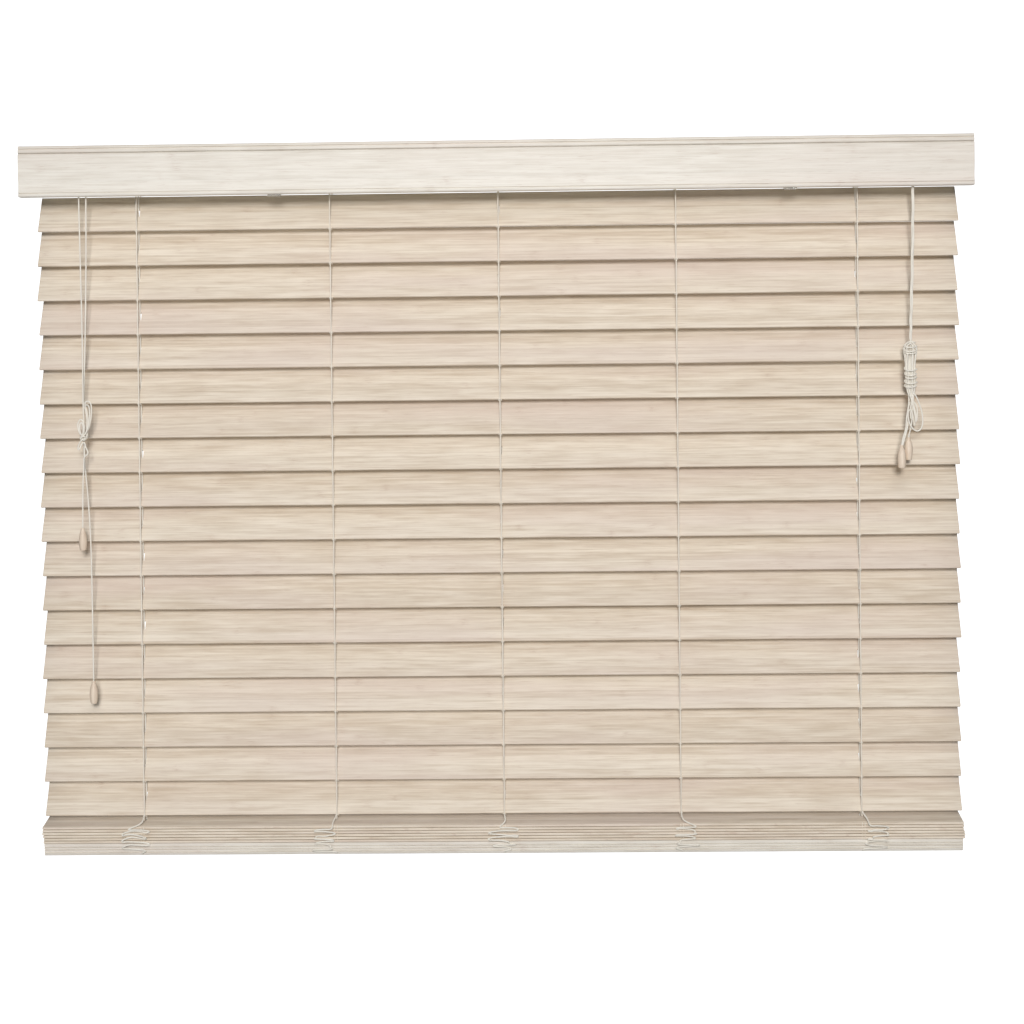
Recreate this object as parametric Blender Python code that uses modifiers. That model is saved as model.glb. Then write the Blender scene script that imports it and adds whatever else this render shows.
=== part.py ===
"""Wooden venetian blind, 50 mm slats on five ladders, hung part way down with its slats closed.

Units are metres, +Z is up, +X runs along the slats to the right and -Y faces the room.
The origin is on the wall plane, level with the bracket tops, midway along the blind.
"""

import math

import bmesh
import bpy
from mathutils import Matrix, Vector

# Driving dimensions
SLAT_LENGTH = 1.170
SLAT_WIDTH = 0.050
SLAT_THICKNESS = 0.003
SLAT_AXIS_Y = -0.030
FIRST_SLAT_Z = -0.0826
LADDER_PITCH = 0.044
HANGING_SLATS = 18
CLOSED_TILT = math.radians(65)
LADDER_X = (-0.457, -0.210, 0.004, 0.229, 0.458)
LIFTED_LADDERS = (1, 3, 5)
ROUTE_SLOT = (0.0045, 0.018)

RAIL_LENGTH = 1.166
RAIL_HEIGHT = 0.0155
RAIL_TOP_Z = -0.886
RAIL_EDGE_BREAK = 0.0025
STACK_PITCH = 0.0036
STACKED_FLAT = 5
TIPPED_SLAT_TILT = math.radians(12)

HEADRAIL_LENGTH = 1.166
HEADRAIL_REAR_Y = -0.0016
HEADRAIL_FRONT_Y = -0.058
HEADRAIL_TOP_Z = -0.0016
HEADRAIL_BOTTOM_Z = -0.051
HEADRAIL_WALL = 0.001
HEADRAIL_LIP = 0.006
LADDER_SLOT = (0.008, -0.048, -0.012)

BRACKET_OUTER_X = 0.5872
BRACKET_GRIP = 0.031
BRACKET_DEPTH = 0.0594
BRACKET_HEIGHT = 0.0526
BRACKET_WALL = 0.0012

VALANCE_LENGTH = 1.196
VALANCE_BACK_Y = -0.068
VALANCE_TOP_Z = -0.001
VALANCE_BOTTOM_Z = -0.065

ROD_Y = -0.030
ROD_Z = -0.022
ROD_RADIUS = 0.0032
ROD_ENDS_X = (-0.540, 0.475)
DRUM_FLANGE_RADIUS = 0.0115
DRUM_CORE_RADIUS = 0.0085
DRUM_WIDTH = 0.012
DRUM_BORE = 0.0037

TILTER_X = -0.5205
TILTER_HALF_WIDTH = 0.0125
GEAR_TIP_RADIUS = 0.0095
GEAR_WIDTH = 0.007
GEAR_TEETH = 12
WORM_RADIUS = 0.0045
WORM_SHAFT_RADIUS = 0.0024
WORM_Z = ROD_Z - GEAR_TIP_RADIUS - 0.0004 - WORM_RADIUS
PULLEY_Y = -0.063
PULLEY_RADIUS = 0.0075
PULLEY_CORE_RADIUS = 0.0032
TILT_CORD_OFFSET = 0.0045

LOCK_X = 0.524
LOCK_HALF_WIDTH = 0.012
NOSE_FRONT_Y = -0.0674
WORKS_TOP_Z = -0.010
WORKS_BOTTOM_Z = -0.0496
WORKS_REAR_Y = -0.014
WORKS_FRONT_Y = -0.0566
WORKS_WALL = 0.0016

LIFT_CORD_DIAMETER = 0.0018
LADDER_CORD_DIAMETER = 0.0014
LADDER_CORD_CLEARANCE = 0.00243
LIFT_CORD_HEIGHTS = {1: -0.041, 3: -0.0445, 5: -0.048}
CORD_BEND = 0.006
TASSEL_RADIUS = 0.0052
TASSEL_LENGTH = 0.0285
GAP = 0.0003

# Free cords, each as hand-placed points from the mechanism down to the tassel or the hank
TILT_ROUTE_A = (
    (-0.5250, -0.0630, -0.0364),
    (-0.5250, -0.0632, -0.0700),
    (-0.5238, -0.0640, -0.1500),
    (-0.5224, -0.0648, -0.2400),
    (-0.5218, -0.0655, -0.3100),
    (-0.5220, -0.0655, -0.3540),
    (-0.5224, -0.0655, -0.4000),
    (-0.5242, -0.0660, -0.4450),
    (-0.5248, -0.0662, -0.4817),
)
TILT_ROUTE_B = (
    (-0.5160, -0.0630, -0.0364),
    (-0.5161, -0.0627, -0.0700),
    (-0.5174, -0.0612, -0.1500),
    (-0.5202, -0.0596, -0.2400),
    (-0.5232, -0.0586, -0.3200),
    (-0.5236, -0.0585, -0.3900),
    (-0.5192, -0.0587, -0.4500),
    (-0.5166, -0.0590, -0.5100),
    (-0.5156, -0.0600, -0.5900),
    (-0.5150, -0.0612, -0.6767),
)
LIFT_PULL_ROUTE = (
    (0.5240, -0.0630, -0.0364),
    (0.5240, -0.0630, -0.0700),
    (0.5234, -0.0630, -0.1200),
    (0.5220, -0.0630, -0.1800),
    (0.5204, -0.0630, -0.2300),
    (0.5198, -0.0630, -0.2577),
)
BOW_SPAN_Z = (-0.385, -0.323)
BOW_SWELLING = 4.6
HANK_X = 0.5195
HANK_TOP_Z = -0.258
HANK_SIZE = (0.019, 0.012, 0.108)
TILT_TASSELS = {"a": (-0.5248, -0.0662, -0.482), "b": (-0.5150, -0.0612, -0.677)}
LIFT_TASSELS = {"a": (0.5070, -0.0668, -0.388, 0.036), "b": (0.5168, -0.0610, -0.3785, 0.012)}

bpy.ops.object.select_all(action="DESELECT")
for leftover in list(bpy.data.objects):
    bpy.data.objects.remove(leftover)


def collection(name, hidden=False):
    made = bpy.data.collections.new(name)
    made.hide_render = hidden
    bpy.context.scene.collection.children.link(made)
    return made


PARTS = collection("venetian_blind")
CUTTERS = collection("cutters", hidden=True)


def material(name, colour, roughness, metallic=0.0):
    made = bpy.data.materials.new(name)
    made.use_nodes = True
    shader = made.node_tree.nodes["Principled BSDF"]
    shader.inputs["Base Color"].default_value = (*colour, 1)
    shader.inputs["Roughness"].default_value = roughness
    shader.inputs["Metallic"].default_value = metallic
    return made


SLAT_WOOD = ((0.70, 0.62, 0.50), 0.55)
VALANCE_WOOD = ((0.78, 0.74, 0.65), 0.5)
CORD_CLOTH = ((0.72, 0.64, 0.52), 0.9)
TASSEL_WOOD = ((0.80, 0.62, 0.45), 0.5)
PLATED_STEEL = ((0.62, 0.62, 0.60), 0.35, 1.0)
PAINTED_STEEL = ((0.80, 0.77, 0.70), 0.4)
WHITE_PLASTIC = ((0.85, 0.84, 0.80), 0.45)


def add(name, data, finish, location=(0, 0, 0), rotation=(0, 0, 0), parent=None):
    """A named part in the blind's collection, with a material of its own."""
    made = bpy.data.objects.new(name, data)
    made.location = location
    made.rotation_euler = rotation
    made.parent = parent
    PARTS.objects.link(made)
    if not data.materials:
        data.materials.append(material(name, *finish))
    return made


def pivot(name, location):
    """An empty on a joint's axis, which the pieces that turn about it hang from."""
    made = bpy.data.objects.new(name, None)
    made.location = location
    made.empty_display_size = 0.02
    PARTS.objects.link(made)
    return made


def block(low, high):
    """A box between two corners."""
    made = bmesh.new()
    bmesh.ops.create_cube(made, size=1)
    size = Vector(high) - Vector(low)
    middle = (Vector(high) + Vector(low)) / 2
    bmesh.ops.transform(made, matrix=Matrix.Translation(middle) @ Matrix.Diagonal((*size, 1)), verts=made.verts)
    return finished(made)


def rod(radius, length, sides):
    """A prism along X, about its own middle."""
    made = bmesh.new()
    bmesh.ops.create_cone(made, cap_ends=True, segments=sides, radius1=radius, radius2=radius, depth=length)
    bmesh.ops.rotate(made, matrix=Matrix.Rotation(math.pi / 2, 3, "Y"), verts=made.verts)
    return finished(made)


def finished(made):
    mesh = bpy.data.meshes.new("shape")
    made.to_mesh(mesh)
    made.free()
    return mesh


def cut(target, shape, location=(0, 0, 0), operation="DIFFERENCE"):
    """Cuts shape from target, or joins it on, with a Boolean that stays on the target."""
    tool = bpy.data.objects.new(f"{target.name}_tool", shape)
    tool.location = location
    tool.hide_render = True
    tool.display_type = "WIRE"
    CUTTERS.objects.link(tool)
    modifier = target.modifiers.new("cut", "BOOLEAN")
    modifier.operation = operation
    modifier.solver = "EXACT"
    modifier.object = tool


def as_mesh(curve):
    """The closed mesh that a curve draws, with its caps welded on."""
    temporary = bpy.data.objects.new("temporary", curve)
    bpy.context.scene.collection.objects.link(temporary)
    bpy.context.view_layer.update()
    evaluated = temporary.evaluated_get(bpy.context.evaluated_depsgraph_get())
    mesh = bpy.data.meshes.new_from_object(evaluated)
    bpy.data.objects.remove(temporary)
    welded = bmesh.new()
    welded.from_mesh(mesh)
    bmesh.ops.remove_doubles(welded, verts=welded.verts, dist=0.00001)
    welded.to_mesh(mesh)
    welded.free()
    return mesh


def plate(outlines, thickness):
    """A flat plate in XY from an outline and the outlines of its holes."""
    curve = bpy.data.curves.new("outline", "CURVE")
    curve.dimensions = "2D"
    curve.fill_mode = "BOTH"
    curve.extrude = thickness / 2
    for outline in outlines:
        spline = curve.splines.new("POLY")
        spline.points.add(len(outline) - 1)
        for point, (x, y) in zip(spline.points, outline):
            point.co = (x, y, 0, 1)
        spline.use_cyclic_u = True
    return as_mesh(curve)


def along_x(outline, length):
    """An outline given as (y, z) points, drawn out along X about x = 0."""
    mesh = plate([outline], length)
    mesh.transform(Matrix(((0, 0, 1, 0), (1, 0, 0, 0), (0, 1, 0, 0), (0, 0, 0, 1))))
    return mesh


def rectangle(width, height):
    return [(-width / 2, -height / 2), (width / 2, -height / 2), (width / 2, height / 2), (-width / 2, height / 2)]


def stadium(width, length, centre=(0, 0), steps=4):
    """A slot's outline with round ends, long in Y."""
    radius = width / 2
    ends = []
    for sign in (1, -1):
        for step in range(steps + 1):
            angle = math.pi * step / steps + (0 if sign > 0 else math.pi)
            y = centre[1] + sign * (length / 2 - radius) + radius * math.sin(angle)
            ends.append((centre[0] + radius * math.cos(angle), y))
    return ends


def turned(name, profile, finish, steps=12, closed=False, **place):
    """A piece turned about its own Z axis from (radius, height) points that run from the top down."""
    mesh = bpy.data.meshes.new(name)
    count = len(profile)
    edges = [(i, i + 1) for i in range(count - 1)]
    if closed:
        edges.append((count - 1, 0))
    mesh.from_pydata([(radius, 0, height) for radius, height in profile], edges, [])
    made = add(name, mesh, finish, **place)
    screw = made.modifiers.new("turn", "SCREW")
    screw.steps = screw.render_steps = steps
    screw.use_merge_vertices = True
    screw.merge_threshold = 0.00001
    screw.use_smooth_shade = True
    return made


def smooth_route(points, steps):
    """Points along a smooth curve through the given ones, steps to each stretch."""
    points = [Vector(p) for p in points]
    points = [2 * points[0] - points[1], *points, 2 * points[-1] - points[-2]]
    route = []
    for a, b, c, d in zip(points, points[1:], points[2:], points[3:]):
        for step in range(steps):
            t = step / steps
            route.append(0.5 * (2 * b + (c - a) * t + (2 * a - 5 * b + 4 * c - d) * t**2 + (3 * b - a - 3 * c + d) * t**3))
    route.append(points[-2])
    return route


def cord(name, route, diameter, finish=CORD_CLOTH, swell=None):
    """A round cord along a route; swell gives the tube's radius factor at a point."""
    curve = bpy.data.curves.new(name, "CURVE")
    curve.dimensions = "3D"
    curve.bevel_depth = diameter / 2
    curve.bevel_resolution = 2
    curve.use_fill_caps = True
    spline = curve.splines.new("POLY")
    spline.points.add(len(route) - 1)
    for point, place in zip(spline.points, route):
        point.co = (*place, 1)
        point.radius = swell(place) if swell else 1
    return add(name, curve, finish)


def slat_centre_z(number):
    """Height of a slat's middle line: hanging slats on the ladder, then the tipped slat and the stack."""
    if number <= HANGING_SLATS:
        return FIRST_SLAT_Z - LADDER_PITCH * (number - 1)
    last = HANGING_SLATS + 1 + STACKED_FLAT
    lowest = RAIL_TOP_Z + 0.0004 + SLAT_THICKNESS / 2
    if number > HANGING_SLATS + 1:
        return lowest + STACK_PITCH * (last - number)
    stack_top = lowest + STACK_PITCH * (STACKED_FLAT - 1) + SLAT_THICKNESS / 2
    half_rise = SLAT_WIDTH / 2 * math.sin(TIPPED_SLAT_TILT)
    return stack_top + GAP + half_rise + SLAT_THICKNESS / 2 * math.cos(TIPPED_SLAT_TILT)


def slats():
    """Slats 1 to 18 hang closed, slat 19 rests tipped on the stack and 20 to 24 lie flat."""
    holes = [stadium(*ROUTE_SLOT, centre=(LADDER_X[number - 1], 0)) for number in LIFTED_LADDERS]
    shape = plate([rectangle(SLAT_LENGTH, SLAT_WIDTH), *holes], SLAT_THICKNESS)
    for number in range(1, HANGING_SLATS + STACKED_FLAT + 2):
        tilt = CLOSED_TILT if number <= HANGING_SLATS else TIPPED_SLAT_TILT if number == HANGING_SLATS + 1 else 0
        place = (0, SLAT_AXIS_Y, slat_centre_z(number))
        add(f"slat_{number:02d}", shape.copy(), SLAT_WOOD, place, (tilt, 0, 0))


def bottom_rail():
    half = SLAT_WIDTH / 2
    low = RAIL_TOP_Z - RAIL_HEIGHT
    inset = half - 0.002
    outline = [
        (-half, RAIL_TOP_Z),
        (-half, low + 0.006),
        (-inset, low + RAIL_EDGE_BREAK),
        (-inset + RAIL_EDGE_BREAK, low),
        (inset - RAIL_EDGE_BREAK, low),
        (inset, low + RAIL_EDGE_BREAK),
        (half, low + 0.006),
        (half, RAIL_TOP_Z),
    ]
    shape = along_x([(y + SLAT_AXIS_Y, z) for y, z in outline], RAIL_LENGTH)
    add("bottom_rail", shape, VALANCE_WOOD)


def headrail():
    """Steel channel, open at the top between two inturned lips, with a slot under each ladder."""
    rear, front, top, bottom = HEADRAIL_REAR_Y, HEADRAIL_FRONT_Y, HEADRAIL_TOP_Z, HEADRAIL_BOTTOM_Z
    wall, lip = HEADRAIL_WALL, HEADRAIL_LIP
    outline = [
        (rear - lip, top),
        (rear, top),
        (rear, bottom),
        (front, bottom),
        (front, top),
        (front + lip, top),
        (front + lip, top - wall),
        (front + wall, top - wall),
        (front + wall, bottom + wall),
        (rear - wall, bottom + wall),
        (rear - wall, top - wall),
        (rear - lip, top - wall),
    ]
    channel = add("headrail", along_x(outline, HEADRAIL_LENGTH), PAINTED_STEEL)
    width, slot_front, slot_rear = LADDER_SLOT
    for x in LADDER_X:
        cut(channel, block((x - width / 2, slot_front, bottom - wall), (x + width / 2, slot_rear, bottom + 2 * wall)))
    for x, half in ((TILTER_X, 0.0112), (LOCK_X, 0.0092)):
        cut(channel, block((x - half, front - wall, bottom - wall), (x + half, WORKS_FRONT_Y + 0.0066, -0.0264)))


def brackets():
    """Box brackets, open to the front and towards the headrail, one on each end."""
    for name, side in (("bracket_left", -1), ("bracket_right", 1)):
        inner = BRACKET_OUTER_X - BRACKET_GRIP
        ends = sorted((side * inner, side * BRACKET_OUTER_X))
        made = add(name, block((ends[0], -BRACKET_DEPTH, -BRACKET_HEIGHT), (ends[1], 0, 0)), PAINTED_STEEL)
        wall = BRACKET_WALL
        hollow = sorted((side * (inner - 0.01), side * (BRACKET_OUTER_X - wall)))
        cut(made, block((hollow[0], -BRACKET_DEPTH - 0.01, -BRACKET_HEIGHT + wall), (hollow[1], -wall, -wall)))


def valance():
    """Moulded board in front of the headrail: beaded top edge, cove and a round nose below."""
    back, top, bottom = VALANCE_BACK_Y, VALANCE_TOP_Z, VALANCE_BOTTOM_Z
    face = back - 0.008
    outline = [
        (back, top),
        (back, bottom + 0.001),
        (back - 0.001, bottom),
        (face - 0.0002, bottom),
        (face - 0.001, bottom + 0.0012),
        (face - 0.001, bottom + 0.011),
        (face + 0.0016, bottom + 0.0135),
        (face + 0.0022, bottom + 0.0175),
        (face, bottom + 0.022),
        (face, top - 0.0105),
        (face + 0.0012, top - 0.0095),
        (face + 0.0012, top - 0.0045),
        (face + 0.002, top - 0.0015),
        (face + 0.0035, top),
    ]
    add("valance", along_x(outline, VALANCE_LENGTH), VALANCE_WOOD)


def tilt_works():
    """Tilt rod with its drums and worm wheel, and the cord tilter that turns it."""
    axis = pivot("tilt_rod_axis", (0, ROD_Y, ROD_Z))
    start, end = ROD_ENDS_X
    add("tilt_rod", rod(ROD_RADIUS, end - start, 6), PLATED_STEEL, ((start + end) / 2, 0, 0), parent=axis)
    half = DRUM_WIDTH / 2
    profile = [
        (DRUM_BORE, half),
        (DRUM_FLANGE_RADIUS, half),
        (DRUM_FLANGE_RADIUS, half - 0.0015),
        (DRUM_CORE_RADIUS, half - 0.0015),
        (DRUM_CORE_RADIUS, 0.0015 - half),
        (DRUM_FLANGE_RADIUS, 0.0015 - half),
        (DRUM_FLANGE_RADIUS, -half),
        (DRUM_BORE, -half),
    ]
    for number, x in enumerate(LADDER_X, 1):
        turned(
            f"ladder_drum_{number}",
            profile,
            WHITE_PLASTIC,
            closed=True,
            location=(x, 0, 0),
            rotation=(0, math.pi / 2, 0),
            parent=axis,
        )
    teeth = []
    for step in range(GEAR_TEETH * 4):
        angle = 2 * math.pi * step / (GEAR_TEETH * 4)
        radius = GEAR_TIP_RADIUS if step % 4 in (0, 1) else GEAR_TIP_RADIUS - 0.0017
        teeth.append((radius * math.cos(angle), radius * math.sin(angle)))
    bore = [(DRUM_BORE * math.cos(i * math.pi / 6), DRUM_BORE * math.sin(i * math.pi / 6)) for i in range(12)]
    gear = plate([teeth, bore], GEAR_WIDTH)
    add("tilter_gear", gear, WHITE_PLASTIC, (TILTER_X, 0, 0), (0, math.pi / 2, 0), parent=axis)

    root_radius = WORM_RADIUS - 0.0013
    profile = [(0, 0.046), (WORM_SHAFT_RADIUS, 0.046), (WORM_SHAFT_RADIUS, 0.040)]
    for ridge in range(6):
        height = 0.040 - 0.003 * ridge
        profile += [(root_radius, height - 0.0002), (WORM_RADIUS, height - 0.001), (WORM_RADIUS, height - 0.0018)]
    profile += [
        (root_radius, 0.0218),
        (WORM_SHAFT_RADIUS, 0.0214),
        (WORM_SHAFT_RADIUS, 0.0026),
        (PULLEY_RADIUS, 0.0024),
        (PULLEY_RADIUS, 0.0015),
        (PULLEY_CORE_RADIUS, 0.0014),
        (PULLEY_CORE_RADIUS, -0.0014),
        (PULLEY_RADIUS, -0.0015),
        (PULLEY_RADIUS, -0.0024),
        (0, -0.0024),
    ]
    place = (TILTER_X, PULLEY_Y, WORM_Z)
    turned("tilter_worm", profile, WHITE_PLASTIC, location=place, rotation=(-math.pi / 2, 0, 0))


def works_case(name, x, half_width, top, nose_half, nose_top):
    """A moulded case inside the headrail, with a nose that passes out under the valance."""
    case = add(name, block((x - half_width, WORKS_FRONT_Y, WORKS_BOTTOM_Z), (x + half_width, WORKS_REAR_Y, top)), WHITE_PLASTIC)
    nose = block((x - nose_half, NOSE_FRONT_Y, -0.0465), (x + nose_half, WORKS_FRONT_Y + 0.001, nose_top))
    cut(case, nose, operation="UNION")
    return case


def tilter_housing():
    x, half, wall = TILTER_X, TILTER_HALF_WIDTH, WORKS_WALL
    case = works_case("tilter_housing", x, half, WORKS_TOP_Z, 0.0105, -0.0272)
    low = (x - half + wall, WORKS_FRONT_Y + wall, WORKS_BOTTOM_Z + wall)
    cut(case, block(low, (x + half - wall, WORKS_REAR_Y - wall, 0)))
    cut(case, rod(0.0042, 0.04, 16), (x, ROD_Y, ROD_Z))
    shaft_way = rod(0.0029, 0.012, 12)
    shaft_way.transform(Matrix.Rotation(math.pi / 2, 4, "Z"))
    cut(case, shaft_way, (x, WORKS_FRONT_Y - 0.002, WORM_Z))
    cut(case, block((x - 0.0089, -0.0662, -0.06), (x + 0.0089, -0.0598, -0.0285)))


def cord_lock():
    x, half = LOCK_X, LOCK_HALF_WIDTH
    case = works_case("cord_lock", x, half, -0.020, 0.0085, -0.0300)
    cut(case, block((x - half - 0.01, -0.050, -0.0485), (x + 0.006, -0.022, -0.0385)))
    cut(case, block((x - 0.0055, -0.0660, -0.06), (x + 0.0055, -0.048, -0.0345)))


def lift_cords():
    """From the cord lock along the channel, over the edge of the ladder slot and down through the slats."""
    for number in LIFTED_LADDERS:
        x, height = LADDER_X[number - 1], LIFT_CORD_HEIGHTS[number]
        route = [Vector((LOCK_X - LOCK_HALF_WIDTH - GAP, SLAT_AXIS_Y, height))]
        for step in range(5):
            angle = math.pi / 2 * step / 4
            across = x + CORD_BEND * (1 - math.sin(angle))
            route.append(Vector((across, SLAT_AXIS_Y, height - CORD_BEND * (1 - math.cos(angle)))))
        route.append(Vector((x, SLAT_AXIS_Y, RAIL_TOP_Z + GAP)))
        cord(f"lift_cord_{number}", route, LIFT_CORD_DIAMETER)


def ladders():
    """The uprights of the five ladders, just clear of the slats' edges."""
    reach = SLAT_WIDTH / 2 * math.cos(CLOSED_TILT) + LADDER_CORD_CLEARANCE
    ends = {"front": (-1, -0.047, -0.859), "rear": (1, -0.006, -0.855)}
    for side, (sign, top, bottom) in ends.items():
        y = SLAT_AXIS_Y + sign * reach
        for number, x in enumerate(LADDER_X, 1):
            cord(f"ladder_{side}_{number}", [(x, y, top), (x, y, bottom)], LADDER_CORD_DIAMETER)


def tassel(name, x, y, top, neck=0.0):
    """A turned wooden acorn; neck is the bare cord's length above it."""
    r, long = TASSEL_RADIUS, TASSEL_LENGTH
    cord_radius = LIFT_CORD_DIAMETER / 2
    profile = [(0, neck), (cord_radius, neck), (cord_radius, 0)] if neck else [(0, 0)]
    profile += [(0.45 * r, 0), (0.8 * r, -0.14 * long), (r, -0.4 * long), (r, -0.7 * long), (0.85 * r, -long), (0, -long)]
    turned(name, profile, TASSEL_WOOD, location=(x, y, top))


def hanging_cords():
    def bow(place):
        low, high = BOW_SPAN_Z
        return BOW_SWELLING if low <= place[2] <= high else 1

    cord("tilt_cord_a", smooth_route(TILT_ROUTE_A, 4), LIFT_CORD_DIAMETER, swell=bow)
    cord("tilt_cord_b", smooth_route(TILT_ROUTE_B, 3), LIFT_CORD_DIAMETER)
    cord("lift_pull_cord", smooth_route(LIFT_PULL_ROUTE, 4), LIFT_CORD_DIAMETER)
    for name, place in TILT_TASSELS.items():
        tassel(f"tilt_tassel_{name}", *place)
    for name, place in LIFT_TASSELS.items():
        tassel(f"lift_tassel_{name}", *place)
    width, depth, height = HANK_SIZE
    hank = plate([stadium(width, height, steps=8)], depth)
    middle = (HANK_X, PULLEY_Y, HANK_TOP_Z - height / 2)
    add("lift_pull_hank", hank, CORD_CLOTH, middle, (math.pi / 2, 0, 0))


headrail()
brackets()
valance()
tilt_works()
tilter_housing()
cord_lock()
slats()
bottom_rail()
ladders()
lift_cords()
hanging_cords()

for shown in PARTS.objects:
    if shown.type == "MESH" and not shown.modifiers:
        shown.data.shade_smooth()
        shown.data.set_sharp_from_angle(angle=math.radians(30))
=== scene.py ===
"""Finishes and fine shapes of the wooden venetian blind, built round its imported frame."""

import math
import random

import bpy
from mathutils import Euler, Matrix, Vector


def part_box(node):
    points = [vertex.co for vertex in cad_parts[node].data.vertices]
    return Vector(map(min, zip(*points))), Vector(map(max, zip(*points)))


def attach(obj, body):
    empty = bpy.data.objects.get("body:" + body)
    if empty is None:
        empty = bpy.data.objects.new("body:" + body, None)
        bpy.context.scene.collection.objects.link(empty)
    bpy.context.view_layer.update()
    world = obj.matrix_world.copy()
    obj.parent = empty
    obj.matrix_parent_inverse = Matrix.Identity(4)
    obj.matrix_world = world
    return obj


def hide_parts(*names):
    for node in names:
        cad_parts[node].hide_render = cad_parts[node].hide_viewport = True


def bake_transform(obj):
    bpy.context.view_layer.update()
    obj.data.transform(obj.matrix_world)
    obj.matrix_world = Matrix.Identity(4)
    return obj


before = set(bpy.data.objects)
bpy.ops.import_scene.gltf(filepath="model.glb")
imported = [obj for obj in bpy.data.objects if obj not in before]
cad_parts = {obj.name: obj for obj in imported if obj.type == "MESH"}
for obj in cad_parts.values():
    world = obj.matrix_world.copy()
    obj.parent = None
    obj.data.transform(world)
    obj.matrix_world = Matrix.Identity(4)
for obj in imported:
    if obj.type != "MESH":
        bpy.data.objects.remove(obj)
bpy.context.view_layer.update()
MM = 0.001

LADDERS = (1, 2, 3, 4, 5)
LIFTED = (1, 3, 5)
SLATS = [f"slat_{number:02d}" for number in range(1, 25)]
HANGING = SLATS[:18]
CLOSED_TILT = math.radians(65)
TIPPED_TILT = math.radians(12)
HALF_SLAT = 585 * MM
CORD = 1.8 * MM
LADDER_CORD = 1.6 * MM
SLACK_CORD = 1.9 * MM
RUNG_CORD = 1.0 * MM
ROD_Y, ROD_Z = -30 * MM, -22 * MM
CHANNEL_FLOOR = -49.8 * MM
CORD_EXIT_Z = -36.4 * MM


# ---------------------------------------------------------------- camera, light and floor


def middle(node):
    """The middle of a node's box."""
    low, high = (Vector(corner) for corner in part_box(node))
    return (low + high) / 2


def camera_and_light():
    scene = bpy.context.scene
    scene.view_settings.view_transform = "Standard"
    lens = bpy.data.cameras.new("camera")
    lens.lens = 60.66
    lens.shift_y = -0.0743
    lens.sensor_width = 36
    camera = bpy.data.objects.new("camera", lens)
    place = Matrix.Translation((0.0623, -2.235, -0.3416))
    turn = Matrix.Rotation(math.radians(1.138), 4, "Z") @ Matrix.Rotation(math.radians(90 - 0.789), 4, "X")
    camera.matrix_world = place @ turn @ Matrix.Rotation(math.radians(-0.612), 4, "Z")
    scene.collection.objects.link(camera)
    scene.camera = camera

    world = bpy.data.worlds.new("studio")
    world.use_nodes = True
    world.node_tree.nodes["Background"].inputs["Color"].default_value = (1, 1, 1, 1)
    world.node_tree.nodes["Background"].inputs["Strength"].default_value = 0.05
    scene.world = world
    for name, at, aim, size, power, colour in (
        ("key", (0.1, -4.4, 0.62), (0.0, 0, -0.42), 0.9, 137, (1.0, 0.982, 0.975)),
        ("overhead", (0.2, -2.3, 1.7), (0.0, 0, -0.42), 1.5, 17, (1.0, 0.965, 0.93)),
        ("fill", (-2.0, -3.0, -1.3), (-0.1, 0, -0.8), 1.3, 9, (0.88, 0.95, 1.0)),
    ):
        lamp = bpy.data.lights.new(name, "AREA")
        lamp.size = size
        lamp.energy = power
        lamp.color = colour
        made = bpy.data.objects.new(name, lamp)
        made.location = at
        made.rotation_euler = (Vector(aim) - Vector(at)).to_track_quat("-Z", "Y").to_euler()
        scene.collection.objects.link(made)


# ---------------------------------------------------------------- shaders


class Wire:
    """A node's output that arithmetic works on; each sum adds its Math node."""

    def __init__(self, finish, socket):
        self.finish = finish
        self.socket = socket

    def maths(self, operation, *values):
        return self.finish.node("ShaderNodeMath", {"operation": operation}, dict(enumerate(values)))

    def __add__(self, other):
        return self.maths("ADD", self, other)

    def __sub__(self, other):
        return self.maths("SUBTRACT", self, other)

    def __mul__(self, other):
        return self.maths("MULTIPLY", self, other)

    def __truediv__(self, other):
        return self.maths("DIVIDE", self, other)

    def __rsub__(self, other):
        return self.maths("SUBTRACT", other, self)

    def __rtruediv__(self, other):
        return self.maths("DIVIDE", other, self)

    def __pow__(self, other):
        return self.maths("POWER", self, other)

    def __abs__(self):
        return self.maths("ABSOLUTE", self)

    __radd__ = __add__
    __rmul__ = __mul__

    def floor(self):
        return self.maths("FLOOR", self)

    def clamp(self, low, high):
        """0 at low and below, 1 at high and above, smooth between."""
        settings = {"interpolation_type": "SMOOTHSTEP"}
        return self.finish.node("ShaderNodeMapRange", settings, {0: self, 1: low, 2: high})


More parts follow.
